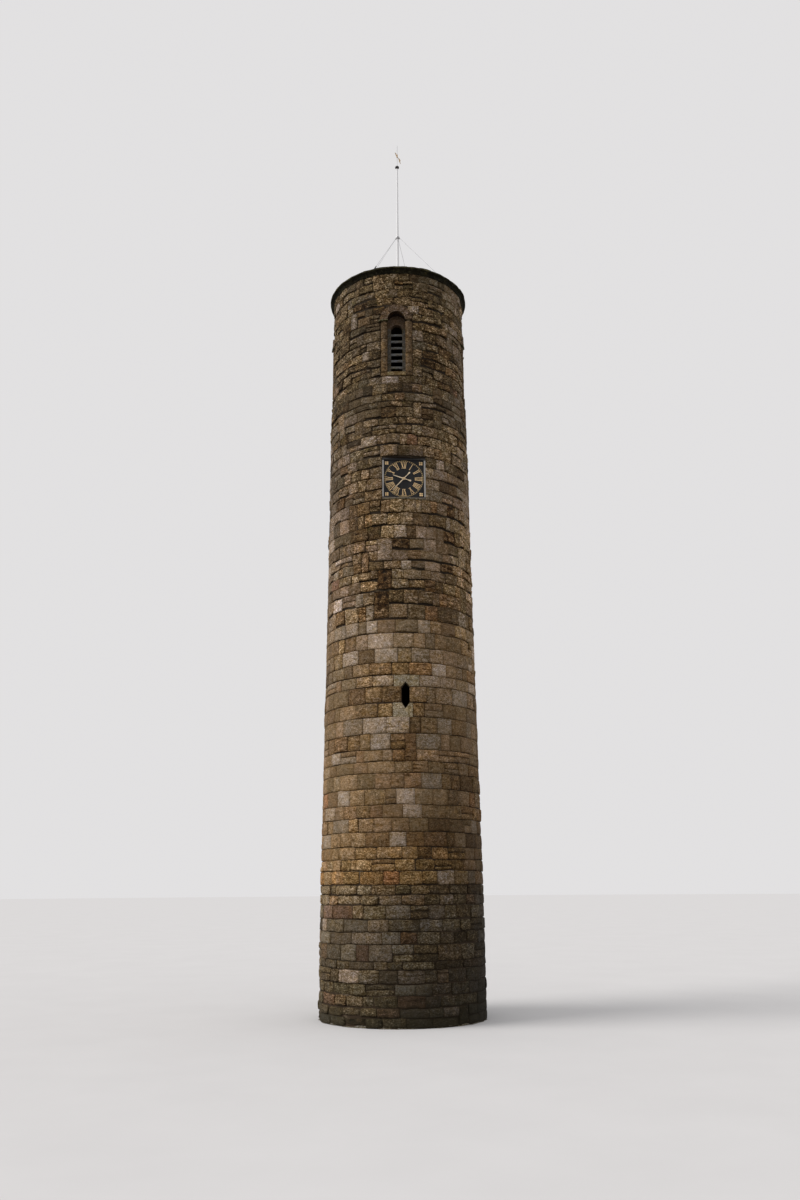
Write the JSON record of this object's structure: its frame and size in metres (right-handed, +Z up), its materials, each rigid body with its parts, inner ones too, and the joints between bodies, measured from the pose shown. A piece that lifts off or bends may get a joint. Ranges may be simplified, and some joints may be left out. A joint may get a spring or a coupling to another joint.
{
  "type": "round stone tower with belfry, clock and weather vane",
  "caption": "Slender hollow round tower of coursed stone, with louvred round-headed belfry windows, a turret clock and a guyed pole with a weather vane.",
  "frame": {"origin": "centre of the drum at its lowest point on the ground", "axes": "+Z up, the front with the clock and slit window towards -Y"},
  "size_m": [4.6, 4.7273, 28.98],
  "materials": {
    "grey_stone": "weathered, open joints",
    "ochre_stone": "weathered, open joints",
    "brown_stone": "deeply weathered, open joints",
    "olive_stone": "weathered, lichen",
    "dressed_stone": "dressed, worn edges",
    "pale_stone": "dressed, worn edges",
    "mossy_stone": "dark, mossy",
    "floor_stone": "worn",
    "floor_boards": "worn boards",
    "roof_lead": "dull sheet lead",
    "slat_grey": "grey slate, weathered",
    "board_black": "matte black paint",
    "frame_grey": "weathered paint",
    "gilt": "worn gilding",
    "pole_white": "weathered white paint",
    "iron_dark": "dark, matte",
    "wire_steel": "galvanised",
    "door_wood": "dark stained planks"
  },
  "bodies": {
    "tower": {"base_wall_front": "grey_stone", "lower_wall_front": "ochre_stone", "upper_wall_front": "brown_stone", "belfry_wall_front": "olive_stone", "base_wall_right": "grey_stone", "lower_wall_right": "ochre_stone", "upper_wall_right": "brown_stone", "belfry_wall_right": "olive_stone", "base_wall_rear": "grey_stone", "lower_wall_rear": "ochre_stone", "upper_wall_rear": "brown_stone", "belfry_wall_rear": "olive_stone", "base_wall_left": "grey_stone", "lower_wall_left": "ochre_stone", "upper_wall_left": "brown_stone", "belfry_wall_left": "olive_stone", "entrance_floor": "floor_stone", "belfry_floor": "floor_boards", "roof_deck": "roof_lead", "cornice": "mossy_stone", "window_hoods": "dressed_stone", "window_jambs": "dressed_stone", "inner_orders": "dressed_stone", "window_sills": "dressed_stone", "louvre_slats": "slat_grey", "slit_stones": "pale_stone", "slit_wall": "ochre_stone", "clock_frame": "frame_grey", "clock_board": "board_black", "minute_ring": "gilt", "clock_arbor": "gilt", "pole_socket": "iron_dark", "flagpole": "pole_white", "pole_cap": "iron_dark", "vane_spindle": "wire_steel", "guy_collar": "wire_steel", "guy_wires": "wire_steel", "turnbuckles": "iron_dark", "guy_anchors": "iron_dark", "door_surround": "dressed_stone", "door_sill": "pale_stone", "door_leaf": "door_wood"},
    "vane": {"vane_arrow": "gilt"},
    "minute_hand": {"minute_hand": "gilt"},
    "hour_hand": {"hour_hand": "gilt"}
  },
  "joints": [
    {"name": "vane_turn", "type": "hinge", "parent": "tower", "child": "vane", "pos_m": [0, 0, 28.54], "axis": [0, 0, 1], "continuous": true},
    {"name": "minute_hand_turn", "type": "hinge", "parent": "tower", "child": "minute_hand", "pos_m": [0.1984, -2.06047, 15.27], "axis": [-0.0958, 0.9954, 0], "continuous": true},
    {"name": "hour_hand_turn", "type": "hinge", "parent": "tower", "child": "hour_hand", "pos_m": [0.1984, -2.06047, 15.27], "axis": [-0.0958, 0.9954, 0], "continuous": true}
  ],
  "couplings": [
    {"joint": "hour_hand_turn", "follows": "minute_hand_turn", "ratio": 0.083333}
  ]
}
